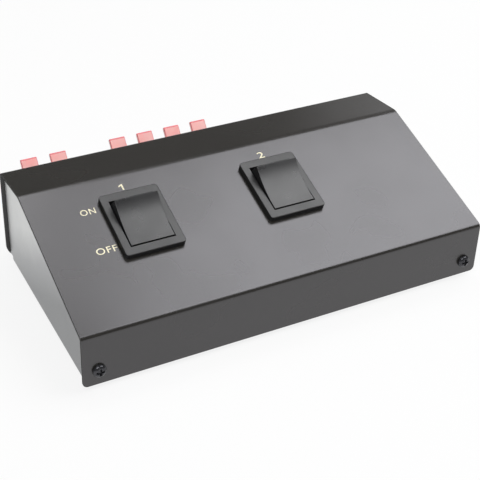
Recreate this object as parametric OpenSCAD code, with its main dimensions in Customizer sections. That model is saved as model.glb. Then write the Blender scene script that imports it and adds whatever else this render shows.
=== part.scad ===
// Two-way speaker switch box: a folded steel case with a sloping front, two rocker
// switches on the slope and two blocks of spring terminals on the rear panel.
// X runs along the front, Y to the rear and Z up. The origin is on the resting
// surface, under the middle of the box.

/* [Case] */
// Width of the cover, left to right
case_w = 184; // [155:1:240]
// Depth of the cover, front lip to rear panel
case_d = 95; // [90:1:130]
// Height of the front lip
lip_h = 23.8; // [20.5:0.1:32]
// Height of the crest, where the slope meets the roof
crest_h = 46.7; // [42:0.1:60]
// Distance of the crest behind the lip
crest_y = 69.5; // [62:0.5:80]
// Height of the roof at the rear panel
rear_h = 44.5; // [41:0.1:58]
// Thickness of the steel sheet
sheet = 1; // [0.8:0.1:1.2]
// How far the base's side walls stand in from the cover's edges
wall_inset = 1.5; // [1.2:0.1:3]
// Gap between the cover and the base
fold_gap = 0.3; // [0.2:0.05:0.5]
// Outer bend radius between the lip and the slope
lip_bend_r = 2.3; // [1.3:0.1:3]
// Outer bend radius at the crest
crest_bend_r = 9; // [1.5:0.5:12]
// Outer bend radius between the roof and the rear panel
rear_bend_r = 2.5; // [1.5:0.1:4]
// Outer bend radius along the base's edges
base_bend_r = 2; // [1.5:0.1:3]
// Corner radius of the lip at its lower ends
lip_corner_r = 2.2; // [1:0.1:4]
// Corner radius of the rear panel at its lower ends
rear_corner_r = 7; // [1:0.1:7]

/* [Case screws] */
// Distance of each front screw from the cover's side
front_screw_x = 6.8; // [6.1:0.1:12]
// Distance of each rear screw from the cover's side
rear_screw_x = 6.2; // [6:0.1:6.4]
// Height of each case screw above the cover's lower edge
case_screw_z = 6.8; // [5.5:0.1:9]
// Head diameter
case_screw_head_d = 5.6; // [5:0.1:7.5]
// Head height
case_screw_head_h = 2.1; // [1.5:0.1:2.6]
// Shank diameter
case_screw_d = 3; // [2.5:0.1:3.6]
// Shank length under the head
case_screw_l = 9.5; // [6:0.5:13]

/* [Feet] */
// Foot diameter where it is stuck on
foot_d = 10; // [8:0.5:14]
// Foot height
foot_h = 2.5; // [1.5:0.5:5]
// Distance of each foot's centre from the base's sides
foot_inset = 12; // [9:0.5:20]

/* [Rocker switches] */
// Distance of the first switch's centre from the cover's left side
switch_x = 43.2; // [20:0.1:60]
// Distance between the switches' centres
switch_pitch = 65; // [40:0.5:85]
// Distance of the switches' centres up the slope from the lip's bend
switch_up = 45.5; // [36:0.1:53]
// Bezel width
bezel_w = 26.3; // [25:0.1:31]
// Bezel length, up the slope
bezel_l = 32.3; // [30:0.1:37]
// Bezel height above the cover
bezel_h = 2.4; // [1.8:0.1:2.6]
// Corner radius of the bezel
bezel_r = 1.6; // [1:0.1:3]
// Width of the cut-out in the slope
cutout_w = 22; // [21.8:0.1:23]
// Length of the cut-out in the slope
cutout_l = 28; // [27.6:0.1:29]
// Depth of the switch body below the cover
switch_depth = 19.5; // [19:0.1:24]
// Width of the well that the rocker sits in
well_w = 19.6; // [19.4:0.1:20]
// Length of the well
well_l = 24.6; // [20:0.1:25]
// Swing of the rocker from OFF to ON, in degrees
rocker_swing = 30; // [24:1:30]
// How deep the rocker's face is hollowed
rocker_sag = 1.5; // [0.6:0.1:2.2]
// Distance of each pole from the switch's middle
pole_x = 4.9; // [4.6:0.1:5]

/* [Terminal blocks] */
// Distance between terminal columns
column_pitch = 13.4; // [11:0.1:17]
// Distance of the input block's box from the cover's left side
input_gap = 10.3; // [10.2:0.1:14]
// Height of the input block's centre above the cover's lower edge
input_z = 21.6; // [20:0.1:23]
// Distance between the two blocks' boxes
block_gap = 16.5; // [14.5:0.1:30]
// Height of the output block's centre above the cover's lower edge
output_z = 22.3; // [20:0.1:24]
// Diameter of the wire holes
wire_hole_d = 3.5; // [2.5:0.1:3.8]
// Width of a lever's tab
tab_w = 7.4; // [6.5:0.1:7.8]
// Length of a lever's tab from its hinge
tab_l = 12.6; // [11:0.1:14]
// Lean of a lever's tab from the upright, in degrees
tab_lean = 40; // [34:1:44]

/* [Hidden] */
$fn = 48;

eps = 0.01;
arc_steps = 8;

// The front of the case, seen from the side as [Y, Z] points of the cover's outer face
slope_a = atan2(crest_h - lip_h, crest_y);
cover_path = [[0, 0], [0, lip_h], [crest_y, crest_h], [case_d, rear_h], [case_d, 0]];
cover_radii = [lip_bend_r, crest_bend_r, rear_bend_r];
wall_x = case_w / 2 - wall_inset;
base_front = sheet + fold_gap;
base_back = case_d - sheet - fold_gap;
flange_h = 11.5;
rear_flange_h = 5.5;
ear_w = 6;
relief = 1.2;

// Terminal block, in its own frame: X along the row, Y out of the panel, Z up
flange_t = 2.5;
face_out = 8;
body_in = 8;
body_half_h = 13.7;
flange_half_h = 16.5;
cell_w = 8.2;
end_wall = 1.8;
ear_offset = 3.1;
ear_r = 3.6;
cutout_gap = 0.3;
mid_wall = 2.4;
cell_top = 12.4;
face_wall_y = 3.5;
window_z = 7.9;
hinge = [3, 10];
trunnion_r = 1.1;
trunnion_gap = 0.08;
trunnion_out = 0.8;
hub_r = 1.8;
tab_t = 1.8;
tab_bevel = 0.4;
arm_w = 6;
arm_l = 8.7;
arm_t = 1.6;
arm_lean = 220;
wire_hole_z = 4.9;
mouth_r = wire_hole_d / 2 + 0.8;
mouth_l = 0.9;
strip_t = 0.5;
tongue_w = 4;
lug_w = 3.2;
lug_out = 5.5;
lug_hole_r = 0.7;
back_t = 1.5;
stake_r = 0.9;
stake_inset = 3;
leaf_t = 0.3;
leaf_w = 4;
leaf_gap = 0.25;
leaf_reach = 5;
block_screw_d = 3;
block_head_r = 2.7;
block_head_h = 1.8;
block_nut_af = 5.5;
block_nut_h = 2.2;

// The levers reach further back than anything else, and the front screws further forward
lever_reach = hinge[0] + (tab_l - tab_bevel) * sin(tab_lean) + tab_t / 2 * cos(tab_lean);
mid_y = (case_d + lever_reach - case_screw_head_h) / 2;
input_x = input_gap + body_half_w(2);
output_x = input_x + body_half_w(2) + block_gap + body_half_w(4);

// Rocker switch, in its own frame: Z square to the slope, zero on the cover's face
rocker_tilt = rocker_swing / 2;
rocker_gap = 0.3;
rocker_w = well_w - 2 * rocker_gap;
pivot_z = bezel_h - 4.5;
pivot_r = 1.5;
pivot_gap = 0.05;
rocker_foot = well_l / 2 - 0.65;
rocker_end = rocker_foot - 1.4;
rocker_rise = 7.7;
rocker_under = -1.2;
shell = 1.5;
post_w = 5.2;
post_bottom = -6.5;
plunger_bore_r = 1.75;
bore_top = 2.4;
plunger_r = 1.65;
plunger_nose_r = 1.2;
plunger_top = -3;
plunger_shoulder = -7.4;
plunger_tip = -11.65;
spring_r = 1.2;
spring_wire = 0.35;
spring_turns = 5;
blade_t = 0.5;
blade_w = 4;
blade_arm = 8;
blade_rise = 12;
blade_ratio = 0.5;
blade_z = pivot_z + plunger_tip - 0.25 - blade_t;
knife_gap = 0.1;
lug_t = 0.8;
switch_lug_w = 4.8;
switch_lug_end = -28;
on_lug_y = -8;
stop_y = 7;
stop_w = 2.2;
pad_y = -6.4;
pad_r = 1.2;
floor_t = 1.5;
slot_gap = 0.05;
contact_gap = 0.15;

// Insulated wire
wire_r = 0.75;
wire_sides = 8;
solder_gap = 0.15;

// ---- Helpers ----

// X measured from the cover's left side
function from_left(x) = x - case_w / 2;
// Half the width of a terminal block's box
function body_half_w(columns) = (columns - 1) / 2 * column_pitch + cell_w / 2 + end_wall;
function unit_of(v) = v / norm(v);
// Height of a blade's underside on the side that is down, at a distance from its middle
function blade_under(reach) = blade_z + reach * tan(blade_rise - rocker_tilt * blade_ratio);
// The right-hand normal of the stretch from a to b
function right_of(a, b) = let (d = unit_of(b - a)) [d[1], -d[0]];
// An open path moved to its right by gap, each corner along its mitre
function moved(path, gap) = [for (i = [0:len(path) - 1])
    i == 0 ? path[0] + gap * right_of(path[0], path[1])
    : i == len(path) - 1 ? path[i] + gap * right_of(path[i - 1], path[i])
    : let (n = right_of(path[i - 1], path[i]), m = right_of(path[i], path[i + 1]))
        path[i] + gap * (n + m) / (1 + n * m)];
// The arc that rounds corner p between its neighbours a and b
function corner_arc(a, p, b, r) = let (
    d = unit_of(p - a),
    e = unit_of(b - p),
    turn = atan2(d[0] * e[1] - d[1] * e[0], d * e),
    start = p - d * r * tan(abs(turn) / 2),
    centre = start + sign(turn) * r * [-d[1], d[0]])
    [for (k = [0:arc_steps]) let (t = turn * k / arc_steps, q = start - centre)
        centre + [q[0] * cos(t) - q[1] * sin(t), q[0] * sin(t) + q[1] * cos(t)]];
// An open path with its inner corners rounded by the radii given
function rounded(path, radii) = concat([path[0]],
    [for (i = [1:len(path) - 2]) each corner_arc(path[i - 1], path[i], path[i + 1], radii[i - 1])],
    [path[len(path) - 1]]);
function reversed(list) = [for (i = [len(list) - 1:-1:0]) list[i]];
// The outline of a folded strip that lies to the right of path, or to its left when thick is negative
function strip(path, radii, thick) = concat(rounded(path, radii),
    reversed(rounded(moved(path, thick), [for (r = radii) max(r - abs(thick), 0.2)])));

// A [Y, Z] outline drawn out along X
module along_x(length) {
    rotate([90, 0, 90]) linear_extrude(height = length, center = true) children();
}

// An [X, Z] outline drawn out along Y, forwards from y = 0
module along_y(length) {
    translate([0, length, 0]) rotate([90, 0, 0]) linear_extrude(height = length) children();
}

module rounded_rect(w, l, r) {
    steps = 6;
    polygon([for (q = [0:3], k = [0:steps]) let (a = 90 * q + 90 * k / steps,
        sx = q == 0 || q == 3 ? 1 : -1, sy = q < 2 ? 1 : -1)
        [sx * (w / 2 - r) + r * cos(a), sy * (l / 2 - r) + r * sin(a)]]);
}

// Moves a piece from the case's frame, whose origin is the foot of the lip, to the part's frame
module in_case() {
    translate([0, -mid_y, foot_h]) children();
}

// Places a piece on the slope at switch i
module at_switch(i) {
    in_case()
        translate([from_left(switch_x + i * switch_pitch), switch_up * cos(slope_a),
            lip_h + switch_up * sin(slope_a)])
            rotate([slope_a, 0, 0]) children();
}

module both_poles() {
    for (s = [-1, 1]) translate([s * pole_x, 0, 0]) children();
}

// Places a piece on the rear panel at a terminal block
module at_block(x, z) {
    in_case() translate([from_left(x), case_d, z]) children();
}

// A pan head screw with a cross recess, along -Z from under its head at z = 0
module pan_screw(head_r, head_h, shank_r, length, tip) {
    recess_w = head_r * 0.34;
    recess_l = head_r * 1.2;
    recess_deep = head_h * 0.6;
    difference() {
        rotate_extrude() polygon(concat(
            [[0, head_h]],
            [for (k = [1:6]) let (a = 15 * k) [head_r * sin(a), head_h * (0.35 + 0.65 * cos(a))]],
            [[head_r, 0], [shank_r, 0], [shank_r, tip - length], [0, -length]]));
        for (a = [0, 90]) rotate(a)
            translate([-recess_l / 2, -recess_w / 2, head_h - recess_deep])
                cube([recess_l, recess_w, head_h]);
    }
}

// A tube swept along the points, round in section and square to the path at each ring
module tube(points, r, sides) {
    n = len(points);
    way = [for (i = [0:n - 1]) unit_of(points[min(i + 1, n - 1)] - points[max(i - 1, 0)])];
    flat = [for (d = way) unit_of(cross(d, abs(d[2]) > 0.9 ? [0, 1, 0] : [0, 0, 1]))];
    rings = [for (i = [0:n - 1]) let (up = cross(flat[i], way[i]))
        [for (k = [0:sides - 1]) let (a = 360 * k / sides)
            points[i] + r * (cos(a) * flat[i] + sin(a) * up)]];
    faces = concat(
        [[for (k = [0:sides - 1]) k]],
        [for (i = [0:n - 2], k = [0:sides - 1]) let (j = (k + 1) % sides)
            each [[i * sides + k, (i + 1) * sides + k, (i + 1) * sides + j],
                [i * sides + k, (i + 1) * sides + j, i * sides + j]]],
        [[for (k = [sides - 1:-1:0]) (n - 1) * sides + k]]);
    polyhedron([for (ring = rings) each ring], faces);
}

// Points on a smooth curve through the stops of a route
function smooth(p, steps) = let (n = len(p)) concat(
    [for (i = [0:n - 2], k = [0:steps - 1]) let (
        t = k / steps,
        a = p[max(i - 1, 0)], b = p[i], c = p[i + 1], d = p[min(i + 2, n - 1)])
        0.5 * (2 * b + (c - a) * t + (2 * a - 5 * b + 4 * c - d) * t * t
            + (3 * b - a - 3 * c + d) * t * t * t)],
    [p[n - 1]]);

// ---- Case ----

module screw_places(inset, y) {
    for (s = [-1, 1])
        translate([s * (case_w / 2 - inset), y, case_screw_z]) rotate([90, 0, 0]) children();
}

// Rounds the lower corners of the panel that stands at y
module lower_corners_off(y, corner_r) {
    cut = corner_r + eps;
    for (s = [0, 1]) mirror([s, 0, 0])
        translate([case_w / 2, y - sheet, 0])
            along_y(3 * sheet)
                difference() {
                    translate([-corner_r, -eps]) square([cut, cut]);
                    translate([-corner_r, corner_r]) circle(corner_r);
                }
}

module block_cutout(columns, x, z) {
    translate([from_left(x), 0, z]) {
        translate([-body_half_w(columns) - cutout_gap, case_d - 2 * sheet, -body_half_h - cutout_gap])
            cube([2 * (body_half_w(columns) + cutout_gap), 3 * sheet, 2 * (body_half_h + cutout_gap)]);
        for (s = [-1, 1])
            translate([s * (body_half_w(columns) + ear_offset), case_d + sheet, 0])
                rotate([90, 0, 0]) cylinder(d = block_screw_d + 0.3, h = 3 * sheet);
    }
}

// The cover is one folded sheet: lip, slope, roof and rear panel
module cover() {
    color("#3a3b3d") {
        in_case() difference() {
            along_x(case_w) polygon(strip(cover_path, cover_radii, sheet));
            lower_corners_off(0, lip_corner_r);
            lower_corners_off(case_d - sheet, rear_corner_r);
            screw_places(front_screw_x, sheet * 1.5) cylinder(d = case_screw_d + 0.4, h = 3 * sheet);
            screw_places(rear_screw_x, case_d + sheet) cylinder(d = case_screw_d + 0.4, h = 3 * sheet);
            for (i = [0, 1])
                translate([from_left(switch_x + i * switch_pitch), switch_up * cos(slope_a),
                    lip_h + switch_up * sin(slope_a)])
                    rotate([slope_a, 0, 0])
                        translate([-cutout_w / 2, -cutout_l / 2, -2 * sheet])
                            cube([cutout_w, cutout_l, 4 * sheet]);
            block_cutout(2, input_x, input_z);
            block_cutout(4, output_x, output_z);
        }
    }
}

// Side walls and bottom of the base, drawn from front to rear
module side_fold() {
    path = [[-wall_x, case_d], [-wall_x, 0], [wall_x, 0], [wall_x, case_d]];
    translate([0, base_front, 0])
        along_y(base_back - base_front)
            polygon(strip(path, [base_bend_r, base_bend_r], -sheet));
}

// Front flange, bottom and rear flange of the base, drawn from side to side
module end_fold() {
    path = [[base_front, flange_h], [base_front, 0], [base_back, 0], [base_back, flange_h]];
    along_x(2 * (wall_x - sheet - fold_gap))
        polygon(strip(path, [base_bend_r, base_bend_r], -sheet));
}

// The base is one folded sheet: bottom, side walls, front and rear flanges
module base() {
    inset = sheet + fold_gap;
    room = rounded(moved(cover_path, inset), [for (r = cover_radii) max(r - inset, 0.2)]);
    bend = base_bend_r + relief;
    notch_w = 2 * (wall_x - inset - ear_w);
    color("#b9bbbd") {
        in_case() difference() {
            union() {
                intersection() {
                    difference() {
                        side_fold();
                        for (y = [base_front - eps, base_back - bend])
                            translate([-case_w / 2, y, -eps]) cube([case_w, bend + eps, bend]);
                    }
                    along_x(case_w) polygon(room);
                }
                difference() {
                    end_fold();
                    for (s = [0, 1], y = [base_front - eps, base_back - bend]) mirror([s, 0, 0])
                        translate([wall_x - bend, y, -eps]) cube([bend, bend + eps, bend]);
                    translate([-notch_w / 2, base_back - 2 * sheet, rear_flange_h])
                        cube([notch_w, 3 * sheet, flange_h]);
                }
            }
            screw_places(front_screw_x, base_front + 1.5 * sheet)
                cylinder(d = case_screw_d + 0.1, h = 3 * sheet);
            screw_places(rear_screw_x, base_back + sheet)
                cylinder(d = case_screw_d + 0.1, h = 3 * sheet);
        }
    }
}

module case_screw() {
    color("#151515")
        pan_screw(case_screw_head_d / 2, case_screw_head_h, case_screw_d / 2, case_screw_l, 2.5);
}

module front_screws() {
    in_case() screw_places(front_screw_x, 0) case_screw();
}

module rear_screws() {
    in_case() mirror([0, 1, 0]) screw_places(rear_screw_x, -case_d) case_screw();
}

module rubber_feet() {
    color("#1c1c1c")
        in_case()
            for (x = [-1, 1], y = [base_front + foot_inset, base_back - foot_inset])
                translate([x * (wall_x - foot_inset), y, -foot_h])
                    cylinder(d1 = foot_d - 1, d2 = foot_d, h = foot_h);
}

// ---- Rocker switches ----

// A bezel seen from the side, with its upper edges rounded
function bezel_side(width, edge) =
    rounded([[-width / 2, 0], [-width / 2, bezel_h], [width / 2, bezel_h], [width / 2, 0]], [edge, edge]);

// Bezel and body in one moulding, open at the top, with latch ribs at both ends
module switch_housing(i) {
    body_w = cutout_w - 0.6;
    body_l = cutout_l - 0.6;
    edge = 0.35;
    latch = [[0, -sheet - 0.2], [0.9, -sheet - 0.6], [0, -sheet - 5]];
    ledge_top = blade_under(stop_y) - contact_gap;
    well_bottom = -switch_depth + floor_t;
    color("#222325") at_switch(i) {
        difference() {
            union() {
                intersection() {
                    linear_extrude(height = bezel_h) rounded_rect(bezel_w, bezel_l, bezel_r);
                    along_x(bezel_w) polygon(bezel_side(bezel_l, edge));
                    translate([0, -bezel_l / 2, 0]) along_y(bezel_l) polygon(bezel_side(bezel_w, edge));
                }
                translate([-body_w / 2, -body_l / 2, -switch_depth])
                    cube([body_w, body_l, switch_depth + edge]);
                for (s = [0, 1]) mirror([0, s, 0])
                    translate([0, body_l / 2 - eps, 0]) along_x(8) polygon(latch);
            }
            difference() {
                translate([-well_w / 2, -well_l / 2, well_bottom])
                    cube([well_w, well_l, switch_depth + bezel_h]);
                translate([-0.5, -well_l / 2 - eps, -switch_depth])
                    cube([1, well_l + 2 * eps, switch_depth - 10]);
                both_poles()
                    translate([-blade_w / 2, stop_y, -switch_depth])
                        cube([blade_w, stop_w, switch_depth + ledge_top]);
            }
            translate([0, 0, pivot_z])
                rotate([0, 90, 0])
                    cylinder(r = pivot_r + pivot_gap, h = well_w + 2.2, center = true);
            both_poles()
                for (y = [0, on_lug_y])
                    translate([0, y, -switch_depth])
                        cube([switch_lug_w + 2 * slot_gap, lug_t + 2 * slot_gap, 4 * floor_t],
                            center = true);
        }
    }
}

// Hollow rocker with a dished face, two hinge pins and two posts that guide the plungers
module rocker(i) {
    face = [for (k = [0:arc_steps * 2]) let (y = rocker_end * (k / arc_steps - 1))
        [y, rocker_rise - rocker_sag * (1 - pow(y / rocker_end, 2))]];
    outline = concat(face, [[rocker_foot, 0], [rocker_foot - 0.3, rocker_under],
        [0.3 - rocker_foot, rocker_under], [-rocker_foot, 0]]);
    inner_end = rocker_end - shell;
    hollow = [[-inner_end - 0.8, rocker_under - eps], [-inner_end, rocker_rise - rocker_sag - shell],
        [inner_end, rocker_rise - rocker_sag - shell], [inner_end + 0.8, rocker_under - eps]];
    color("#2a2b2d") at_switch(i) translate([0, 0, pivot_z]) rotate([rocker_tilt, 0, 0]) {
        difference() {
            union() {
                difference() {
                    along_x(rocker_w) polygon(outline);
                    along_x(rocker_w - 2 * shell) polygon(hollow);
                }
                both_poles()
                    translate([-post_w / 2, -post_w / 2, post_bottom])
                        cube([post_w, post_w, rocker_rise - rocker_sag - shell - post_bottom + eps]);
            }
            both_poles()
                translate([0, 0, post_bottom - eps])
                    cylinder(r = plunger_bore_r, h = bore_top - post_bottom + eps);
        }
        for (s = [-1, 1])
            translate([s * (rocker_w / 2 + 0.6), 0, 0])
                rotate([0, 90, 0]) cylinder(r = pivot_r, h = 1.2 + 2 * eps, center = true);
    }
}

module on_rocker(i) {
    at_switch(i) translate([0, 0, pivot_z]) rotate([rocker_tilt, 0, 0]) both_poles() children();
}

// Nylon pins with a round nose, pushed down on the contact blades
module plungers(i) {
    nose = [for (k = [0:6]) let (a = 15 * k)
        [plunger_nose_r * sin(a), plunger_tip + plunger_nose_r * (1 - cos(a))]];
    color("#e8e4d8") on_rocker(i)
        rotate_extrude() polygon(concat(nose, [[plunger_nose_r, plunger_shoulder],
            [plunger_r, plunger_shoulder], [plunger_r, plunger_top], [0, plunger_top]]));
}

// Compression springs between the plungers and the rocker
module plunger_springs(i) {
    low = plunger_top + spring_wire / 2 + 0.05;
    high = bore_top - spring_wire / 2 - 0.05;
    steps = 8 * spring_turns;
    coil = [for (k = [0:steps]) let (a = 360 * k / 8)
        [spring_r * cos(a), spring_r * sin(a), low + (high - low) * k / steps]];
    echo(spring_gap = (high - low) / spring_turns - spring_wire);
    color("#c8c8c8") on_rocker(i) tube(coil, spring_wire / 2, 6);
}

// Brass blades that rock on the common lugs
module contact_blades(i) {
    arm = blade_arm * [cos(blade_rise), sin(blade_rise)];
    path = [[-arm[0], arm[1]], [0, 0], arm];
    color("#c9a24a") at_switch(i) both_poles()
        translate([0, 0, blade_z]) rotate([-rocker_tilt * blade_ratio, 0, 0])
            along_x(blade_w) polygon(strip(path, [0.8], -blade_t));
}

module switch_lug(top) {
    difference() {
        translate([-switch_lug_w / 2, -lug_t / 2, switch_lug_end])
            cube([switch_lug_w, lug_t, top - switch_lug_end]);
        translate([0, 0, switch_lug_end + 2.4])
            rotate([90, 0, 0]) cylinder(r = lug_hole_r, h = 3 * lug_t, center = true);
    }
}

// Common lugs, whose upper edges carry the blades
module common_lugs(i) {
    color("#c7c4bb") at_switch(i) both_poles() switch_lug(blade_z - knife_gap);
}

// ON lugs, each with a bent top and a contact button
module on_lugs(i) {
    pad_h = 0.4;
    top = blade_under(-pad_y - pad_r) - contact_gap - pad_h;
    color("#c7c4bb") at_switch(i) both_poles() {
        translate([0, on_lug_y, 0]) switch_lug(top);
        translate([-blade_w / 2, on_lug_y, top - lug_t])
            cube([blade_w, pad_y + pad_r - on_lug_y, lug_t]);
        translate([0, pad_y, top - eps]) cylinder(r = pad_r, h = pad_h + eps);
    }
}

// ---- Terminal blocks ----

function column_x(columns, c) = (c - (columns - 1) / 2) * column_pitch;

module both_rows() {
    for (row = [0, 1]) mirror([0, 0, row]) children();
}

module each_cell(columns) {
    for (c = [0:columns - 1]) translate([column_x(columns, c), 0, 0]) both_rows() children();
}

module wire_hole() {
    translate([0, 0, wire_hole_z]) rotate([-90, 0, 0]) {
        cylinder(d = wire_hole_d, h = face_out + eps);
        translate([0, 0, face_out - mouth_l])
            cylinder(d1 = wire_hole_d, d2 = 2 * mouth_r, h = mouth_l + eps);
    }
}

module box_between(low, high) {
    translate(low) cube(high - low);
}

// One cell of the upper row: cavity, lever window, wire hole and trunnion grooves
module cell_space() {
    half = cell_w / 2;
    groove = half + trunnion_out + 0.2;
    groove_r = trunnion_r + trunnion_gap;
    box_between([-half, -body_in - eps, mid_wall], [half, face_wall_y, cell_top]);
    box_between([-half, face_wall_y - eps, window_z], [half, face_out + eps, body_half_h + 1]);
    wire_hole();
    translate([0, hinge[0], hinge[1]])
        rotate([0, 90, 0]) cylinder(r = groove_r, h = 2 * groove, center = true);
    box_between([-groove, -body_in - eps, hinge[1] - groove_r], [groove, hinge[0], hinge[1] + groove_r]);
}

module stakes(columns, r, length) {
    for (s = [-1, 1])
        translate([s * (body_half_w(columns) - stake_inset), -body_in + eps, 0])
            rotate([90, 0, 0]) cylinder(r = r, h = length);
}

// The moulded body: flange with two ears, front box with the wire holes, rear box through the panel
module terminal_body(columns) {
    half = body_half_w(columns);
    ear_x = half + ear_offset;
    color("#1d1e20") {
        difference() {
            union() {
                along_y(flange_t) {
                    square([2 * half, 2 * flange_half_h], center = true);
                    square([2 * ear_x, 2 * ear_r], center = true);
                    for (s = [-1, 1]) translate([s * ear_x, 0]) circle(ear_r);
                }
                box_between([-half, 0, -body_half_h], [half, face_out, body_half_h]);
                box_between([-half, -body_in, -body_half_h], [half, eps, body_half_h]);
            }
            each_cell(columns) cell_space();
            for (s = [-1, 1])
                translate([s * ear_x, -eps, 0])
                    rotate([-90, 0, 0]) cylinder(d = block_screw_d + 0.3, h = flange_t + 2 * eps);
        }
        stakes(columns, stake_r, back_t + 0.7);
    }
}

// The insulating back board that closes the cells and carries the contacts
module terminal_back(columns) {
    half = body_half_w(columns);
    color("#7a5230") difference() {
        box_between([-half, -body_in - back_t, -body_half_h], [half, -body_in, body_half_h]);
        each_cell(columns)
            box_between([-tongue_w / 2 - slot_gap, -body_in - 2 * back_t, mid_wall - slot_gap],
                [tongue_w / 2 + slot_gap, eps, mid_wall + strip_t + slot_gap]);
        stakes(columns, stake_r + 0.05, 3 * back_t);
    }
}

// A contact tongue inside the cell and its solder lug behind the board, one strip of tinned brass
module contacts(columns) {
    lug_end = -body_in - back_t - lug_out;
    color("#d2cfc4") each_cell(columns) difference() {
        union() {
            box_between([-tongue_w / 2, -body_in - back_t, mid_wall],
                [tongue_w / 2, face_wall_y - 0.3, mid_wall + strip_t]);
            box_between([-lug_w / 2, lug_end, mid_wall],
                [lug_w / 2, -body_in - back_t + eps, mid_wall + strip_t]);
        }
        translate([0, lug_end + 1.6, mid_wall - eps]) cylinder(r = lug_hole_r, h = 2 * strip_t);
    }
}

// Leaf springs that lie on the board and hold the levers closed
module leaf_springs(columns, row) {
    way = [sin(arm_lean), cos(arm_lean)];
    tip = hinge + leaf_reach * way + (0.6 * arm_t + leaf_gap) * [way[1], -way[0]];
    path = [[-body_in, cell_top - 0.2], [-body_in, 9.4], tip];
    color("#cfd1d3")
        for (c = [0:columns - 1]) translate([column_x(columns, c), 0, 0])
            mirror([0, 0, row]) along_x(leaf_w) polygon(strip(path, [0.8], -leaf_t));
}

// One lever of the upper row: tab, hub with trunnions, and the arm that clamps the wire
module lever() {
    tab = [[-tab_t / 5, 0], [-tab_t / 2, hub_r], [-tab_t / 2, tab_l - tab_bevel],
        [tab_bevel - tab_t / 2, tab_l], [tab_t / 2 - tab_bevel, tab_l],
        [tab_t / 2, tab_l - tab_bevel], [0.7 * tab_t, hub_r / 2]];
    half_arm = [[0.7, 0], [0.5, 0.95], [0.25, 1]];
    arm = concat([for (p = half_arm) [-p[0] * arm_t, p[1] * arm_l]],
        [for (p = reversed(half_arm)) [p[0] * arm_t, p[1] * arm_l]]);
    translate([0, hinge[0], hinge[1]]) {
        rotate([-tab_lean, 0, 0]) along_x(tab_w) polygon(tab);
        rotate([-arm_lean, 0, 0]) along_x(arm_w) polygon(arm);
        rotate([0, 90, 0]) cylinder(r = hub_r, h = tab_w, center = true);
        rotate([0, 90, 0]) cylinder(r = trunnion_r, h = cell_w + 2 * trunnion_out, center = true);
    }
}

module placed_lever(columns, c, row) {
    translate([column_x(columns, c), 0, 0]) mirror([0, 0, row]) lever();
}

module input_lever(c, row) {
    color(row == 0 ? "#e0565c" : "#1a1a1c") at_block(input_x, input_z) placed_lever(2, c, row);
}

module output_lever(c, row) {
    color(row == 0 ? "#e0565c" : "#1a1a1c") at_block(output_x, output_z) placed_lever(4, c, row);
}

module ear_places(columns) {
    for (s = [-1, 1]) translate([s * (body_half_w(columns) + ear_offset), 0, 0]) children();
}

module block_screw() {
    translate([0, flange_t, 0])
        rotate([-90, 0, 0])
            pan_screw(block_head_r, block_head_h, block_screw_d / 2, flange_t + sheet + 3.4, 0.4);
}

module terminal_screws() {
    color("#1b1b1b") {
        at_block(input_x, input_z) ear_places(2) block_screw();
        at_block(output_x, output_z) ear_places(4) block_screw();
    }
}

module block_nut() {
    translate([0, -sheet - block_nut_h, 0]) rotate([-90, 0, 0])
        difference() {
            rotate(30) cylinder(d = block_nut_af / cos(30), h = block_nut_h, $fn = 6);
            translate([0, 0, -eps]) cylinder(d = block_screw_d + 0.1, h = block_nut_h + 2 * eps);
        }
}

module terminal_nuts() {
    color("#c9cacb") {
        at_block(input_x, input_z) ear_places(2) block_nut();
        at_block(output_x, output_z) ear_places(4) block_nut();
    }
}

// ---- Wires ----

// A point of switch i's frame, in the case's frame
function switch_point(i, p) = [from_left(switch_x + i * switch_pitch) + p[0],
    switch_up * cos(slope_a) + p[1] * cos(slope_a) - p[2] * sin(slope_a),
    lip_h + switch_up * sin(slope_a) + p[1] * sin(slope_a) + p[2] * cos(slope_a)];
// The end of a wire soldered to a switch lug: pole is -1 or 1, face is -1 in front or 1 behind
function switch_tail(i, pole, y, face) = let (
    off = y + face * (lug_t / 2 + wire_r + solder_gap))
    [for (z = [3.4, 0.2, -1.4]) switch_point(i, [pole * pole_x, off, switch_lug_end + z])];
// The end of a wire soldered to a terminal's lug: row is 1 above or -1 below, shift is along the row
function block_tail(columns, x, z, c, row, shift) = let (
    up = z + row * (mid_wall + strip_t + wire_r + solder_gap),
    wx = from_left(x) + column_x(columns, c) + shift,
    y = case_d - body_in - back_t - lug_out)
    [for (out = [3.8, -0.2, -2]) [wx, y + out, up]];
function input_tail(c, row, shift = 0) = block_tail(2, input_x, input_z, c, row, shift);
function output_tail(c, row, shift = 0) = block_tail(4, output_x, output_z, c, row, shift);

module wire(tail_a, stops, tail_b) {
    tube(smooth(concat(tail_a, stops, reversed(tail_b)), 3), wire_r, wire_sides);
}

// Input wires, from the red input terminals to the first switch's common lugs
module input_wires() {
    color("#c22f2b") in_case() for (c = [0, 1]) {
        a = input_tail(c, 1);
        b = switch_tail(0, 2 * c - 1, 0, 1);
        wire(a, [a[2] + [1, -5, -2.5], (a[2] + b[2]) / 2 + [0, -1.2, -2.5 - 2 * c],
            b[2] + [-1.5, 4.5, -1.5]], b);
    }
}

// Jumper wires, from the first switch's common lugs to the second's
module jumper_wires() {
    color("#c22f2b") in_case() for (c = [0, 1]) {
        a = switch_tail(0, 2 * c - 1, 0, -1);
        b = switch_tail(1, 2 * c - 1, 0, -1);
        y = a[2][1] - 3 * c;
        z = 6.2 + 1.3 * c;
        wire(a, [[a[2][0] + 4, y, z], [(a[2][0] + b[2][0]) / 2, y, z], [b[2][0] - 4, y, z]], b);
    }
}

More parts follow.
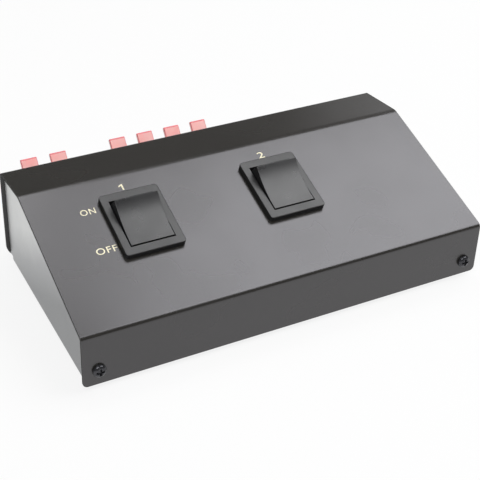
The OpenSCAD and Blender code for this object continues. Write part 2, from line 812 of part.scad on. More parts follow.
// Output wires, from a switch's ON lugs to its pair of red output terminals
module output_wires(i) {
    color("#c22f2b") in_case() for (c = [0, 1]) {
        a = switch_tail(i, 2 * c - 1, on_lug_y, -1);
        b = output_tail(2 * i + c, 1);
        across = [b[2][0] - a[2][0], 0, 0];
        from = [a[2][0], a[2][1], 0];
        wire(a, [from + 0.1 * across + [0, 3.6, 3.2], from + 0.5 * across + [0, 14, 3.1],
            b[2] - 0.07 * across + [0, -9, -10.5]], b);
    }
}

// Return wires that link the black terminals of the left and of the right channel
module return_wires() {
    color("#1f1f22") in_case() for (c = [0, 1]) {
        y = case_d - 18 - 4 * c;
        low = 7.5;
        for (ends = [[input_tail(c, -1), output_tail(c, -1, -0.95)],
            [output_tail(c, -1, 0.95), output_tail(c + 2, -1)]]) {
            a = ends[0];
            b = ends[1];
            wire(a, [[a[2][0] + 2.5, y, low + 1.5], [(a[2][0] + b[2][0]) / 2, y, low],
                [b[2][0] - 2.5, y, low + 1.5]], b);
        }
    }
}

// ---- Nodes ----

cover();
base();
front_screws();
rear_screws();
rubber_feet();
switch_housing(0);  // switch_housing_1
switch_housing(1);  // switch_housing_2
rocker(0);  // rocker_1
rocker(1);  // rocker_2
plungers(0);  // plungers_1
plungers(1);  // plungers_2
plunger_springs(0);  // plunger_springs_1
plunger_springs(1);  // plunger_springs_2
contact_blades(0);  // contact_blades_1
contact_blades(1);  // contact_blades_2
common_lugs(0);  // common_lugs_1
common_lugs(1);  // common_lugs_2
on_lugs(0);  // on_lugs_1
on_lugs(1);  // on_lugs_2
at_block(input_x, input_z) terminal_body(2);  // input_terminal_body
at_block(output_x, output_z) terminal_body(4);  // output_terminal_body
at_block(input_x, input_z) terminal_back(2);  // input_terminal_back
at_block(output_x, output_z) terminal_back(4);  // output_terminal_back
at_block(input_x, input_z) contacts(2);  // input_contacts
at_block(output_x, output_z) contacts(4);  // output_contacts
at_block(input_x, input_z) leaf_springs(2, 0);  // input_springs_upper
at_block(input_x, input_z) leaf_springs(2, 1);  // input_springs_lower
at_block(output_x, output_z) leaf_springs(4, 0);  // output_springs_upper
at_block(output_x, output_z) leaf_springs(4, 1);  // output_springs_lower
terminal_screws();
terminal_nuts();
input_lever(0, 0);  // input_lever_red_1
input_lever(1, 0);  // input_lever_red_2
input_lever(0, 1);  // input_lever_black_1
input_lever(1, 1);  // input_lever_black_2
output_lever(0, 0);  // output_lever_red_1
output_lever(1, 0);  // output_lever_red_2
output_lever(2, 0);  // output_lever_red_3
output_lever(3, 0);  // output_lever_red_4
output_lever(0, 1);  // output_lever_black_1
output_lever(1, 1);  // output_lever_black_2
output_lever(2, 1);  // output_lever_black_3
output_lever(3, 1);  // output_lever_black_4
input_wires();
jumper_wires();
output_wires(0);  // output_wires_1
output_wires(1);  // output_wires_2
return_wires();
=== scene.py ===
import math

import bmesh
import bpy
from mathutils import Matrix, Quaternion, Vector


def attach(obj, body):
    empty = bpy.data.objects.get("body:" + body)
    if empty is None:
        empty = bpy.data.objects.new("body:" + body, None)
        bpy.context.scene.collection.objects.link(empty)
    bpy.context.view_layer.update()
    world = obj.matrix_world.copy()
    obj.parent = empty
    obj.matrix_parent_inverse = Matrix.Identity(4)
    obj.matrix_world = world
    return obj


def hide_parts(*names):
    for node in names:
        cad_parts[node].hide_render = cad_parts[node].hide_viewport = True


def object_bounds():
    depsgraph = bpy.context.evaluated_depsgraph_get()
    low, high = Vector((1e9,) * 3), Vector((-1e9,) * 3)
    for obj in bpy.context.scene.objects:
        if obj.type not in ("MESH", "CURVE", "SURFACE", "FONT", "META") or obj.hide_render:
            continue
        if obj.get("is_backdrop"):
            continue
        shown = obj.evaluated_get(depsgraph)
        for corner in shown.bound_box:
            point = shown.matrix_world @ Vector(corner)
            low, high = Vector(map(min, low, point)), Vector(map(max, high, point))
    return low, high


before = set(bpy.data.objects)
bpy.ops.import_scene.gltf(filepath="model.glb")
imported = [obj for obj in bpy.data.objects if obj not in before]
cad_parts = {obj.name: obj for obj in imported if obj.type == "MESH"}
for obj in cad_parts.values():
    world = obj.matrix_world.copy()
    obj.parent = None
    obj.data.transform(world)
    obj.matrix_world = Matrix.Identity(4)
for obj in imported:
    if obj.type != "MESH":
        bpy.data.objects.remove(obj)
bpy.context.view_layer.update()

MM = 0.001

# ---- Base ----
# The base is one sheet of zinc plated steel, 1 mm thick, punched and folded up into side
# walls and flanges. It stays bare. The front and rear screws hold it under the cover.


def linear(hex_colour):
    """sRGB hex to the linear colour that a shader takes, by the sRGB curve."""
    parts = [int(hex_colour[i:i + 2], 16) / 255 for i in (1, 3, 5)]
    return [c / 12.92 if c <= 0.04045 else ((c + 0.055) / 1.055) ** 2.4
            for c in parts] + [1]


def add_node(tree, kind, inputs=None, **settings):
    """Adds a shader node. inputs holds values, nodes or (node, output) pairs by socket."""
    node = tree.nodes.new("ShaderNode" + kind)
    for name, value in settings.items():
        setattr(node, name, value)
    for socket, value in (inputs or {}).items():
        if isinstance(value, bpy.types.Node):
            value = (value, 0)
        if isinstance(value, tuple) and isinstance(value[0], bpy.types.Node):
            tree.links.new(value[0].outputs[value[1]], node.inputs[socket])
        else:
            node.inputs[socket].default_value = value
    return node


def start_finish(name, **shader_values):
    """A new material with its shader, and the object's own coordinates in millimetres."""
    finish = bpy.data.materials.new(name)
    finish.use_nodes = True
    tree = finish.node_tree
    shader = tree.nodes["Principled BSDF"]
    for socket, value in shader_values.items():
        shader.inputs[socket.replace("_", " ")].default_value = value
    place = add_node(tree, "TexCoord")
    in_mm = add_node(tree, "Mapping", {"Vector": (place, "Object"),
                                       "Scale": (1 / MM,) * 3})
    return finish, tree, shader, in_mm


def vary_gloss(tree, shader, source, smooth, rough):
    """Drives the shader's roughness with a pattern, whose values lie mostly between
    pattern_low and pattern_high."""
    pattern_low, pattern_high = 0.2, 0.8
    span = add_node(tree, "MapRange", {"Value": source,
                                       "From Min": pattern_low, "From Max": pattern_high,
                                       "To Min": smooth, "To Max": rough},
                    interpolation_type="SMOOTHSTEP")
    tree.links.new(span.outputs[0], shader.inputs["Roughness"])


def tint(tree, shader, source, colours):
    """Lays colours along a pattern's values and gives them to the shader."""
    ramp = add_node(tree, "ValToRGB", {"Fac": source})
    stops = ramp.color_ramp.elements
    for _ in range(len(colours) - len(stops)):
        stops.new(0.5)
    for stop, (value, colour) in zip(stops, colours):
        stop.position = value
        stop.color = linear(colour)
    tree.links.new(ramp.outputs["Color"], shader.inputs["Base Color"])
    return ramp


def roughen(tree, shader, source, depth_mm, strength):
    """Bump of a real depth from a pattern of 0 to 1."""
    bump = add_node(tree, "Bump", {"Height": source, "Distance": depth_mm * MM,
                                   "Strength": strength})
    tree.links.new(bump.outputs[0], shader.inputs["Normal"])


def bare_plated_sheet():
    # Cold rolled steel with a bright zinc plate: a grey metal with a soft, slightly
    # cloudy reflection and faint lines from the rolling. Its colour holds painted shade
    # low down in front: it brightens along a slant, where a millimetre up counts as 2.1
    # back.
    cloud_mm, line_mm, line_stretch = 22, 0.35, 40
    up_for_back, shaded_up_to, lit_from = 2.1, 22.0, 87.0
    painted_light_share, cloud_share = 0.8, 0.4
    finish, tree, shader, mm = start_finish("zinc_plated_sheet_steel", Metallic=1.0)
    cloud = add_node(tree, "TexNoise", {"Vector": mm, "Scale": 1 / cloud_mm,
                                        "Detail": 3.0})
    drawn_out = add_node(tree, "Mapping", {"Vector": mm,
                                           "Scale": (1, 1 / line_stretch, 1)})
    lines = add_node(tree, "TexNoise", {"Vector": drawn_out, "Scale": 1 / line_mm,
                                        "Detail": 2.0})
    place = add_node(tree, "SeparateXYZ", {"Vector": mm})
    slant = add_node(tree, "Math", {0: (place, "Z"), 1: up_for_back, 2: (place, "Y")},
                     operation="MULTIPLY_ADD")
    # Painted shade: this darkens the colour towards the front and the bottom.
    painted_light = add_node(tree, "MapRange", {"Value": slant,
                                        "From Min": shaded_up_to, "From Max": lit_from,
                                        "To Min": 0.0, "To Max": painted_light_share})
    cloud_and_painted_light = add_node(tree, "Math", {0: cloud, 1: cloud_share}, operation="MULTIPLY")
    cloud_and_painted_light = add_node(tree, "Math", {0: cloud_and_painted_light, 1: painted_light})
    tint(tree, shader, cloud_and_painted_light, [(0.2, "#8B8C8D"), (0.6, "#A9AAAB"), (1.0, "#D4D5D4")])
    vary_gloss(tree, shader, cloud, smooth=0.38, rough=0.46)
    roughen(tree, shader, lines, depth_mm=0.003, strength=0.5)
    return finish


def put_in_scene(name, data):
    """A new object in the scene, at the origin."""
    thing = bpy.data.objects.new(name, data)
    bpy.context.scene.collection.objects.link(thing)
    return thing


def worked_copy(node, edge_mm, segments):
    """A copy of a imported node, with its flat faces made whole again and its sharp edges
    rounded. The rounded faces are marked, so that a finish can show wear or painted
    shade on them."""
    merge_mm, flat_deg, sharp_deg = 0.002, 0.4, 28
    mesh = bpy.data.meshes.new(node + "_worked")
    shape = bmesh.new()
    shape.from_mesh(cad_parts[node].data)
    bmesh.ops.remove_doubles(shape, verts=shape.verts, dist=merge_mm * MM)
    bmesh.ops.dissolve_limit(shape, angle_limit=math.radians(flat_deg), verts=shape.verts,
                             edges=shape.edges)
    edge_tone = shape.faces.layers.float.new("rounded_edge")
    if edge_mm:
        sharp_angle = math.radians(sharp_deg)
        sharp = [e for e in shape.edges
                 if len(e.link_faces) == 2 and e.calc_face_angle() > sharp_angle]
        rounded = bmesh.ops.bevel(shape, geom=sharp, offset=edge_mm * MM, affect="EDGES",
                                  offset_type="OFFSET", segments=segments, profile=0.5,
                                  material=-1, clamp_overlap=False)
        for face in rounded["faces"]:
            face[edge_tone] = 1.0
    shape.to_mesh(mesh)
    shape.free()
    return put_in_scene(node + "_worked", mesh)


def smooth_over(piece, crease_deg):
    """Smooth shading that breaks at edges sharper than the crease angle, led by the
    large faces."""
    for face in piece.data.polygons:
        face.use_smooth = True
    piece.data.set_sharp_from_angle(angle=math.radians(crease_deg))
    even = piece.modifiers.new("even_shading", "WEIGHTED_NORMAL")
    even.keep_sharp = True


def fit(piece, body, finish, slot_name, *nodes):
    """Gives a piece its material and its body, and hides the nodes it stands for."""
    piece.data.materials.clear()
    piece.data.materials.append(finish)
    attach(piece, body)
    if nodes:
        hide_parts(*nodes)


def finish_part(node, body, finish, slot_name, edge_mm, segments=2, crease_deg=35):
    """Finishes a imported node: a rounded, smoothed copy that takes the node's place."""
    piece = worked_copy(node, edge_mm, segments)
    smooth_over(piece, crease_deg)
    fit(piece, body, finish, slot_name, node)
    return piece


finish_part("base", "case", bare_plated_sheet(), "plated_steel", edge_mm=0.15)

# ---- Cover ----
# The cover is one folded sheet of steel: lip, slope, roof and rear panel. It is sprayed
# with satin black stove enamel after folding, which thins at the bends.


def satin_enamel():
    # Stove enamel on steel: near black, with a soft grey sheen that shows blurred shapes,
    # a fine orange peel, and rounded edges where the coat is thin and a little paler.
    cloud_mm, grain_mm, peel_mm = 30, 0.5, 1.4
    finish, tree, shader, mm = start_finish("satin_black_enamel", IOR=1.74,
                                            Specular_Tint=(0.955, 0.945, 1.0, 1.0))
    cloud = add_node(tree, "TexNoise", {"Vector": mm, "Scale": 1 / cloud_mm,
                                        "Detail": 2.0})
    grain = add_node(tree, "TexNoise", {"Vector": mm, "Scale": 1 / grain_mm,
                                        "Detail": 1.0})
    peel = add_node(tree, "TexNoise", {"Vector": mm, "Scale": 1 / peel_mm, "Detail": 2.0})
    colour = tint(tree, shader, grain, [(0.3, "#211F1B"), (0.7, "#282621")])
    edge = add_node(tree, "Attribute", attribute_name="rounded_edge")
    wear = add_node(tree, "Math", {0: (edge, "Fac"), 1: grain}, operation="MULTIPLY")
    edge_tone = add_node(tree, "MixRGB", {"Fac": wear, "Color1": (colour, "Color"),
                                     "Color2": linear("#5C5B58")})
    tree.links.new(edge_tone.outputs[0], shader.inputs["Base Color"])
    vary_gloss(tree, shader, cloud, smooth=0.24, rough=0.29)
    roughen(tree, shader, peel, depth_mm=0.004, strength=0.3)
    return finish


def cut_edge_enamel():
    # The sheared sides of the sheet: the same coat, dry and matt over the torn steel.
    tear_mm = 0.25
    finish, tree, shader, mm = start_finish("dry_enamel_on_sheared_edge", IOR=1.35)
    tear = add_node(tree, "TexNoise", {"Vector": mm, "Scale": 1 / tear_mm, "Detail": 3.0})
    tint(tree, shader, tear, [(0.3, "#141414"), (0.7, "#1F1F1E")])
    vary_gloss(tree, shader, tear, smooth=0.6, rough=0.75)
    roughen(tree, shader, tear, depth_mm=0.02, strength=0.5)
    return finish


cover = finish_part("cover", "case", satin_enamel(), "grey_black_paint", edge_mm=0.16)
cover.data.materials.append(cut_edge_enamel())
SIDEWAYS = 0.9
for face in cover.data.polygons:
    if abs(face.normal.x) > SIDEWAYS:
        face.material_index = 1

# ---- Printed marks ----
# Numbers over the switches and the words ON and OFF beside the first one are screen
# printed on the slope in pale yellow ink.


def pale_ink():
    # Screen ink: matt and opaque, with a slightly uneven coat over the enamel's texture.
    coat_mm = 0.4
    finish, tree, shader, mm = start_finish("pale_yellow_screen_ink", Roughness=0.55)
    coat = add_node(tree, "TexNoise", {"Vector": mm, "Scale": 1 / coat_mm, "Detail": 2.0})
    tint(tree, shader, coat, [(0.3, "#E9E1BB"), (0.7, "#F2ECD2")])
    roughen(tree, shader, coat, depth_mm=0.01, strength=0.4)
    return finish


# The cover's outside profile in millimetres: the lip's bend and the roof's bend over the
# cover's lower edge, how far back the roof's bend is, and the cover's lower left corner.
LIP_H, CREST_H, CREST_Y = 23.8, 46.7, 69.5
CASE_LEFT_X, CASE_FRONT_Y, CASE_FOOT_Z = -92.0, -52.2157, 2.5
slope_angle = math.atan2(CREST_H - LIP_H, CREST_Y)


def on_slope(x, up, out):
    """The place of a point on the slope: x from the cover's left side, up from the lip's
    bend, out from the face, all in millimetres."""
    foot = Vector((CASE_LEFT_X + x, CASE_FRONT_Y, CASE_FOOT_Z + LIP_H)) * MM
    turn = Matrix.Rotation(slope_angle, 4, "X")
    return Matrix.Translation(foot) @ turn @ Matrix.Translation(Vector((0, up, out)) * MM)


# Each word is typed in a plain letter, a little bolder and wider set than it comes, and
# brought to its size. A row gives the word, its middle on the slope, its width and height.
ink = pale_ink()
INK_T, INK_GAP = 0.03, 0.005
ink_middle = INK_T / 2 + INK_GAP
for word, x, up, width, height in [("2", 108.2, 65.2, 2.9, 3.4),
                                   ("ON", 24.3, 57.0, 6.5, 3.0),
                                   ("OFF", 24.6, 36.4, 8.9, 3.2)]:
    letters = bpy.data.curves.new("print_" + word, "FONT")
    letters.body = word
    letters.align_x, letters.align_y = "LEFT", "BOTTOM_BASELINE"
    letters.extrude = 0.01
    letters.offset = 0.004
    letters.resolution_u = 6
    letters.space_character = 1.12
    typed = put_in_scene("typed_" + word, letters)
    bpy.context.view_layer.update()
    mesh = bpy.data.meshes.new_from_object(typed.evaluated_get(
        bpy.context.evaluated_depsgraph_get()))
    bpy.data.objects.remove(typed)
    corners = [v.co.copy() for v in mesh.vertices]
    low = Vector([min(c[i] for c in corners) for i in range(3)])
    high = Vector([max(c[i] for c in corners) for i in range(3)])
    size = high - low
    fit_size = Matrix.Diagonal((width * MM / size.x, height * MM / size.y,
                                INK_T * MM / size.z, 1))
    mesh.transform(on_slope(x, up, ink_middle) @ fit_size
                   @ Matrix.Translation(-(low + high) / 2))
    mark = put_in_scene("print_" + word, mesh)
    fit(mark, "case", ink, "printed_ink")

# The 1 is drawn from listed points: a stem and a slanting flag, round its own middle in
# millimetres.
# Its faces are sorted, because an extrusion gives its sides in no fixed order.
ONE_X, ONE_UP = 42.2, 65.5
ONE_OUTLINE = [(0.3, -1.6), (0.95, -1.6), (0.95, 1.6), (0.4, 1.6), (-0.9, 0.95),
               (-0.9, 0.3), (0.3, 0.8)]
one = bmesh.new()
one.faces.new([one.verts.new(Vector((x, y, -INK_T / 2)) * MM) for x, y in ONE_OUTLINE])
ink_top = bmesh.ops.extrude_face_region(one, geom=list(one.faces))
bmesh.ops.translate(one, vec=(0, 0, INK_T * MM),
                    verts=[v for v in ink_top["geom"]
                           if isinstance(v, bmesh.types.BMVert)])
bmesh.ops.recalc_face_normals(one, faces=one.faces)
one.verts.index_update()
one.faces.sort(key=lambda face: sum(corner.index for corner in face.verts))
bmesh.ops.transform(one, matrix=on_slope(ONE_X, ONE_UP, ink_middle), verts=one.verts)
mesh = bpy.data.meshes.new("print_1")
one.to_mesh(mesh)
one.free()
mark = put_in_scene("print_1", mesh)
fit(mark, "case", ink, "printed_ink")

# ---- Rocker switches ----
# Each switch is a black nylon housing, pushed into the slope until its ribs latch, and a
# glossier rocker that tips on two pins. Both are injection moulded.


def moulded_nylon():
    # Glass filled nylon from a spark eroded mould: black, even, with a fine matt grain.
    grain_mm, flow_mm = 0.3, 9
    finish, tree, shader, mm = start_finish("black_moulded_nylon", IOR=1.64)
    grain = add_node(tree, "TexNoise", {"Vector": mm, "Scale": 1 / grain_mm,
                                        "Detail": 2.0})
    flow = add_node(tree, "TexNoise", {"Vector": mm, "Scale": 1 / flow_mm, "Detail": 2.0})
    tint(tree, shader, grain, [(0.3, "#1A1A1B"), (0.7, "#212122")])
    vary_gloss(tree, shader, flow, smooth=0.36, rough=0.44)
    roughen(tree, shader, grain, depth_mm=0.008, strength=0.35)
    return finish


def moulded_rocker():
    # A smoother moulding than the housing: nearly the same black, with a glossier sheen.
    grain_mm, flow_mm = 0.25, 7
    finish, tree, shader, mm = start_finish("black_moulded_rocker_plastic", IOR=1.57)
    grain = add_node(tree, "TexNoise", {"Vector": mm, "Scale": 1 / grain_mm,
                                        "Detail": 1.0})
    flow = add_node(tree, "TexNoise", {"Vector": mm, "Scale": 1 / flow_mm, "Detail": 2.0})
    tint(tree, shader, grain, [(0.3, "#1D1D1E"), (0.7, "#232324")])
    vary_gloss(tree, shader, flow, smooth=0.26, rough=0.33)
    roughen(tree, shader, grain, depth_mm=0.004, strength=0.3)
    return finish


nylon, rocker_plastic = moulded_nylon(), moulded_rocker()
for i in ("1", "2"):
    finish_part("switch_housing_" + i, "case", nylon, "black_nylon", edge_mm=0.12)
    finish_part("rocker_" + i, "rocker_" + i, rocker_plastic, "rocker_plastic",
                edge_mm=0.22, segments=3)

# ---- Inside the switches ----
# In each switch two brass blades rock on tinned lugs. Two nylon plungers in the rocker
# press them over, on coiled springs of steel wire. The lugs are pressed into the housing.


def natural_nylon():
    # Unpigmented nylon: milky, slightly see-through, with a low sheen.
    cloud_mm, light_reach_mm = 2, 0.8
    finish, tree, shader, mm = start_finish("natural_nylon", Roughness=0.4, IOR=1.53,
                                            Subsurface_Weight=0.3)
    shader.inputs["Subsurface Radius"].default_value = (light_reach_mm * MM,) * 3
    cloud = add_node(tree, "TexNoise", {"Vector": mm, "Scale": 1 / cloud_mm,
                                        "Detail": 2.0})
    tint(tree, shader, cloud, [(0.3, "#DAD4C2"), (0.7, "#E8E3D4")])
    roughen(tree, shader, cloud, depth_mm=0.01, strength=0.3)
    return finish


def rolled_brass():
    # Rolled brass strip: yellow metal with fine lines and a faint brown bloom.
    bloom_mm, line_mm, line_stretch = 3, 0.2, 30
    finish, tree, shader, mm = start_finish("rolled_brass_strip", Metallic=1.0)
    bloom = add_node(tree, "TexNoise", {"Vector": mm, "Scale": 1 / bloom_mm,
                                        "Detail": 3.0})
    drawn_out = add_node(tree, "Mapping", {"Vector": mm,
                                           "Scale": (1, 1 / line_stretch, 1)})
    lines = add_node(tree, "TexNoise", {"Vector": drawn_out, "Scale": 1 / line_mm})
    tint(tree, shader, bloom, [(0.3, "#B98F45"), (0.7, "#D9B465")])
    vary_gloss(tree, shader, bloom, smooth=0.25, rough=0.4)
    roughen(tree, shader, lines, depth_mm=0.002, strength=0.5)
    return finish


def tinned_strip():
    # Brass dipped in tin: a pale, dull metal with soft runs.
    run_mm = 1.5
    finish, tree, shader, mm = start_finish("tinned_brass_strip", Metallic=1.0)
    runs = add_node(tree, "TexNoise", {"Vector": mm, "Scale": 1 / run_mm, "Detail": 3.0})
    tint(tree, shader, runs, [(0.3, "#BDBBB4"), (0.7, "#D6D4CC")])
    vary_gloss(tree, shader, runs, smooth=0.3, rough=0.48)
    roughen(tree, shader, runs, depth_mm=0.01, strength=0.4)
    return finish


def spring_wire_steel():
    # Hard drawn steel: bright grey metal under a thin, uneven film of oil.
    film_mm = 1.2
    finish, tree, shader, mm = start_finish("hard_drawn_spring_steel", Metallic=1.0)
    film = add_node(tree, "TexNoise", {"Vector": mm, "Scale": 1 / film_mm, "Detail": 2.0})
    tint(tree, shader, film, [(0.3, "#A9ABAE"), (0.7, "#C6C8CA")])
    vary_gloss(tree, shader, film, smooth=0.22, rough=0.36)
    roughen(tree, shader, film, depth_mm=0.002, strength=0.4)
    return finish


milky_nylon, brass = natural_nylon(), rolled_brass()
tinned, spring_steel = tinned_strip(), spring_wire_steel()
for i in ("1", "2"):
    for node, body, finish, slot_name, edge_mm in [
            ("plungers_" + i, "rocker_" + i, milky_nylon, "natural_nylon", 0.1),
            ("plunger_springs_" + i, "rocker_" + i, spring_steel, "spring_steel", 0),
            ("contact_blades_" + i, "contact_blades_" + i, brass, "brass", 0.06),
            ("common_lugs_" + i, "case", tinned, "tinned_brass", 0.08),
            ("on_lugs_" + i, "case", tinned, "tinned_brass", 0.08)]:
        finish_part(node, body, finish, slot_name, edge_mm, crease_deg=50)

# ---- Terminal blocks ----
# Two black ABS mouldings are screwed to the rear panel. Each cell has a round wire hole
# and a coloured lever that a leaf spring holds shut. A board behind carries the contacts.


def moulded_abs():
    # ABS from a lightly textured mould: black with a slightly blue, even sheen.
    grain_mm, flow_mm = 0.3, 8
    finish, tree, shader, mm = start_finish("black_moulded_abs", IOR=1.54)
    grain = add_node(tree, "TexNoise", {"Vector": mm, "Scale": 1 / grain_mm,
                                        "Detail": 2.0})
    flow = add_node(tree, "TexNoise", {"Vector": mm, "Scale": 1 / flow_mm, "Detail": 2.0})
    tint(tree, shader, grain, [(0.3, "#18181A"), (0.7, "#202022")])
    vary_gloss(tree, shader, flow, smooth=0.38, rough=0.48)
    roughen(tree, shader, grain, depth_mm=0.008, strength=0.3)
    return finish


def red_lever_plastic():
    # Red acetal, faded to a salmon pink, with painted shade on its rounded edges: they
    # are coloured a deeper red. Light passes a little way in, red light furthest.
    fade_mm, red_reach_mm, green_reach_mm, blue_reach_mm = 6, 1.6, 0.7, 0.6
    finish, tree, shader, mm = start_finish("faded_red_lever_plastic", IOR=1.48,
                                            Subsurface_Weight=0.35)
    shader.inputs["Subsurface Radius"].default_value = (
        red_reach_mm * MM, green_reach_mm * MM, blue_reach_mm * MM)
    fade = add_node(tree, "TexNoise", {"Vector": mm, "Scale": 1 / fade_mm, "Detail": 2.0})
    face = tint(tree, shader, fade, [(0.3, "#FDB2AE"), (0.7, "#FFC2BD")])
    # Painted shade: the rounded edges are mixed towards a deeper red.
    edge = add_node(tree, "Attribute", attribute_name="rounded_edge")
    painted_edge_shade = add_node(tree, "MixRGB", {"Fac": (edge, "Fac"), "Color1": (face, "Color"),
                                       "Color2": linear("#E4747A")})
    tree.links.new(painted_edge_shade.outputs[0], shader.inputs["Base Color"])
    vary_gloss(tree, shader, fade, smooth=0.34, rough=0.42)
    roughen(tree, shader, fade, depth_mm=0.02, strength=0.2)
    return finish


def black_lever_plastic():
    # The same acetal in black: no light passes in, and the sheen is a little glossier.
    flow_mm = 6
    finish, tree, shader, mm = start_finish("black_lever_plastic", IOR=1.48)
    flow = add_node(tree, "TexNoise", {"Vector": mm, "Scale": 1 / flow_mm, "Detail": 2.0})
    tint(tree, shader, flow, [(0.3, "#161617"), (0.7, "#1E1E1F")])
    vary_gloss(tree, shader, flow, smooth=0.30, rough=0.38)
    roughen(tree, shader, flow, depth_mm=0.02, strength=0.2)
    return finish


def paper_laminate():
    # Brown phenolic board: pressed paper and resin, with a fibrous mottle, dull gloss.
    fibre_mm, fibre_stretch = 0.6, 6
    finish, tree, shader, mm = start_finish("brown_phenolic_board", IOR=1.55)
    fibre = add_node(tree, "Mapping", {"Vector": mm, "Scale": (1 / fibre_stretch, 1, 1)})
    mottle = add_node(tree, "TexNoise", {"Vector": fibre, "Scale": 1 / fibre_mm,
                                         "Detail": 4.0})
    tint(tree, shader, mottle, [(0.3, "#6E4526"), (0.7, "#8A5C36")])
    vary_gloss(tree, shader, mottle, smooth=0.38, rough=0.52)
    roughen(tree, shader, mottle, depth_mm=0.01, strength=0.3)
    return finish


def blackened_screw():
    # Steel with a black oxide: nearly black metal whose rounded edges catch the light.
    oxide_mm = 0.8
    finish, tree, shader, mm = start_finish("black_oxide_screw_steel", Metallic=0.6)
    oxide = add_node(tree, "TexNoise", {"Vector": mm, "Scale": 1 / oxide_mm,
                                        "Detail": 3.0})
    tint(tree, shader, oxide, [(0.3, "#343437"), (0.7, "#4B4B4F")])
    vary_gloss(tree, shader, oxide, smooth=0.16, rough=0.26)
    roughen(tree, shader, oxide, depth_mm=0.01, strength=0.3)
    return finish


def zinc_nut():
    # Bright zinc over steel, with a faint blue and yellow bloom.
    bloom_mm = 2
    finish, tree, shader, mm = start_finish("bright_zinc_nut_steel", Metallic=1.0)
    bloom = add_node(tree, "TexNoise", {"Vector": mm, "Scale": 1 / bloom_mm,
                                        "Detail": 3.0})
    tint(tree, shader, bloom, [(0.3, "#B9BDC2"), (0.7, "#D2D0C4")])
    vary_gloss(tree, shader, bloom, smooth=0.24, rough=0.38)
    roughen(tree, shader, bloom, depth_mm=0.004, strength=0.4)
    return finish


abs_plastic, laminate = moulded_abs(), paper_laminate()
red_plastic, black_plastic = red_lever_plastic(), black_lever_plastic()
oxide_steel, zinc = blackened_screw(), zinc_nut()
for block, columns in (("input", 2), ("output", 4)):
    for node, finish, slot_name, edge_mm in [
            (block + "_terminal_body", abs_plastic, "black_abs", 0.15),
            (block + "_terminal_back", laminate, "phenolic_board", 0.1),
            (block + "_contacts", tinned, "tinned_brass", 0.06),
            (block + "_springs_upper", spring_steel, "spring_steel", 0.04),
            (block + "_springs_lower", spring_steel, "spring_steel", 0.04)]:
        finish_part(node, "case", finish, slot_name, edge_mm)
    for colour, finish in (("red", red_plastic), ("black", black_plastic)):
        for column in range(1, columns + 1):
            lever = f"{block}_lever_{colour}_{column}"
            finish_part(lever, lever, finish, colour + "_lever", edge_mm=0.32, segments=3)
finish_part("terminal_screws", "case", oxide_steel, "blackened_steel", edge_mm=0.12)
finish_part("terminal_nuts", "case", zinc, "zinc_plate", edge_mm=0.12)

# ---- Wires ----
# Stranded copper in PVC insulation, soldered inside the case between the terminals and
# the switches: red for the switched side, black for the common return.


def wire_insulation(name, dark, light):
    # Soft PVC: even colour, a waxy sheen and slight waviness from the extruder.
    wave_mm = 3
    finish, tree, shader, mm = start_finish(name, IOR=1.53)
    wave = add_node(tree, "TexNoise", {"Vector": mm, "Scale": 1 / wave_mm, "Detail": 2.0})
    tint(tree, shader, wave, [(0.3, dark), (0.7, light)])
    vary_gloss(tree, shader, wave, smooth=0.38, rough=0.5)
    roughen(tree, shader, wave, depth_mm=0.03, strength=0.3)
    return finish


red_pvc = wire_insulation("red_pvc_insulation", "#A52420", "#BC302A")
black_pvc = wire_insulation("black_pvc_insulation", "#19191A", "#222223")
for node, finish, slot_name in [("input_wires", red_pvc, "red_pvc"),
                                ("jumper_wires", red_pvc, "red_pvc"),
                                ("output_wires_1", red_pvc, "red_pvc"),
                                ("output_wires_2", red_pvc, "red_pvc"),
                                ("return_wires", black_pvc, "black_pvc")]:
    finish_part(node, "case", finish, slot_name, edge_mm=0, crease_deg=60)

# ---- Case screws and feet ----
# Black pan head screws hold the cover to the base, two in front and two behind. Four
# rubber feet are stuck under the base.


def black_rubber():
    # Cured rubber: deep black, matt, with a faint bloom of dust.
    dust_mm = 1.5
    finish, tree, shader, mm = start_finish("black_rubber", IOR=1.52)
    dust = add_node(tree, "TexNoise", {"Vector": mm, "Scale": 1 / dust_mm, "Detail": 4.0})
    tint(tree, shader, dust, [(0.35, "#161616"), (0.75, "#242423")])
    vary_gloss(tree, shader, dust, smooth=0.7, rough=0.85)
    roughen(tree, shader, dust, depth_mm=0.03, strength=0.3)
    return finish


for node, finish, slot_name, edge_mm in [
        ("front_screws", oxide_steel, "blackened_steel", 0.14),
        ("rear_screws", oxide_steel, "blackened_steel", 0.14),
        ("rubber_feet", black_rubber(), "rubber", 0.4)]:
    finish_part(node, "case", finish, slot_name, edge_mm, segments=3)

# ---- Floor, light and camera ----
# A white table, a large softbox over it, three smaller ones round it, and the camera at
# the photograph's angle.


def white_table():
    # Painted board: white, quite matt. What the camera and reflections see of it is
    # mostly even white; the rest is lit, so the box's shadow stays.
    even_share = 0.85
    finish, tree, shader, _ = start_finish("white_table_paint", Roughness=0.9)
    shader.inputs["Base Color"].default_value = linear("#E6E6E5")
    path = add_node(tree, "LightPath")
    seen = add_node(tree, "Math", {0: (path, "Is Camera Ray"), 1: (path, "Is Glossy Ray")},
                    operation="MAXIMUM")
    seen = add_node(tree, "Math", {0: seen, 1: (path, "Is Transmission Ray")},
                    operation="MAXIMUM")
    share = add_node(tree, "Math", {0: seen, 1: even_share}, operation="MULTIPLY")
    glow = add_node(tree, "Emission", {"Color": (1, 1, 1, 1), "Strength": 1.0})
    both = add_node(tree, "MixShader", {"Fac": share, 1: shader, 2: glow})
    tree.links.new(both.outputs[0], tree.nodes["Material Output"].inputs["Surface"])
    return finish


FLOOR_HALF_M = 20.0
board = bmesh.new()
bmesh.ops.create_grid(board, x_segments=1, y_segments=1, size=FLOOR_HALF_M)
floor_mesh = bpy.data.meshes.new("floor")
board.to_mesh(floor_mesh)
board.free()
floor_mesh.materials.append(white_table())
floor = put_in_scene("floor", floor_mesh)
floor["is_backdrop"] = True

LAMPS_AWAY_M = 1.5


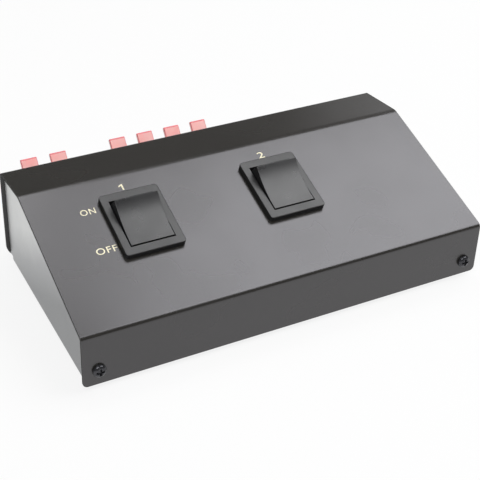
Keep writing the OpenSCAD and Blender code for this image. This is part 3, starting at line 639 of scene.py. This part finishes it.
def softbox(name, towards, width_m, height_m, watts, colour=(1, 1, 1), roll_deg=0):
    """A rectangular soft lamp in a direction from the middle, facing it."""
    lamp = bpy.data.lights.new(name, "AREA")
    lamp.shape = "RECTANGLE"
    lamp.size, lamp.size_y, lamp.energy = width_m, height_m, watts
    lamp.color = colour
    place = Vector(towards).normalized() * LAMPS_AWAY_M
    box = put_in_scene(name, lamp)
    box.location = place
    box.rotation_mode = "QUATERNION"
    facing = (-place).to_track_quat("-Z", "Y")
    box.rotation_quaternion = facing @ Quaternion((0, 0, 1), math.radians(roll_deg))


# The large one gives the slope its sheen, the one in front lights the rest, and the two
# behind reach the slope's left end and the roof's right end.
softbox("overhead_softbox", (0.52, -0.06, 0.83), width_m=1.34, height_m=1.08, watts=18.2,
        colour=(0.985, 0.99, 1.0))
softbox("front_fill", (-0.38, -0.42, 0.83), width_m=0.9, height_m=0.9, watts=10.5,
        colour=(0.97, 0.98, 1.0))
softbox("back_left_softbox", (0.07, 0.44, 0.90), width_m=0.45, height_m=0.7, watts=3.2)
softbox("back_right_softbox", (0.685, 0.645, 0.34), width_m=0.6, height_m=0.6, watts=0.70,
        roll_deg=45)

WORLD_LIGHT = 0.15
world = bpy.data.worlds.new("studio")
world.use_nodes = True
world.node_tree.nodes["Background"].inputs["Color"].default_value = (1, 1, 1, 1)
world.node_tree.nodes["Background"].inputs["Strength"].default_value = WORLD_LIGHT
bpy.context.scene.world = world

EYE_MM = (-196.37, -362.38, 293.15)
AZIMUTH, ELEVATION, ROLL = -27.08, 31.43, 1.31
LENS_MM, SENSOR_MM = 84.335, 36.0
SHIFT_X, SHIFT_Y = 0.0526, -0.1177
NEAR_M, FAR_M = 0.02, 30
camera = bpy.data.cameras.new("camera")
camera.lens, camera.sensor_width = LENS_MM, SENSOR_MM
camera.shift_x, camera.shift_y = SHIFT_X, SHIFT_Y
camera.clip_start, camera.clip_end = NEAR_M, FAR_M
eye = put_in_scene("camera", camera)
eye.location = Vector(EYE_MM) * MM
turn, lift = math.radians(AZIMUTH), math.radians(ELEVATION)
to_eye = Vector((math.sin(turn) * math.cos(lift), -math.cos(turn) * math.cos(lift),
                 math.sin(lift)))
level = (-to_eye).to_track_quat("-Z", "Y").to_matrix().to_4x4()
rolled = level @ Matrix.Rotation(math.radians(ROLL), 4, "Z")
eye.rotation_mode = "QUATERNION"
eye.rotation_quaternion = rolled.to_quaternion()
bpy.context.scene.camera = eye
bpy.context.scene.view_settings.view_transform = "Standard"

# ---- Sizes ----
# The finished model's box, over every shown mesh but the floor.
low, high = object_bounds()
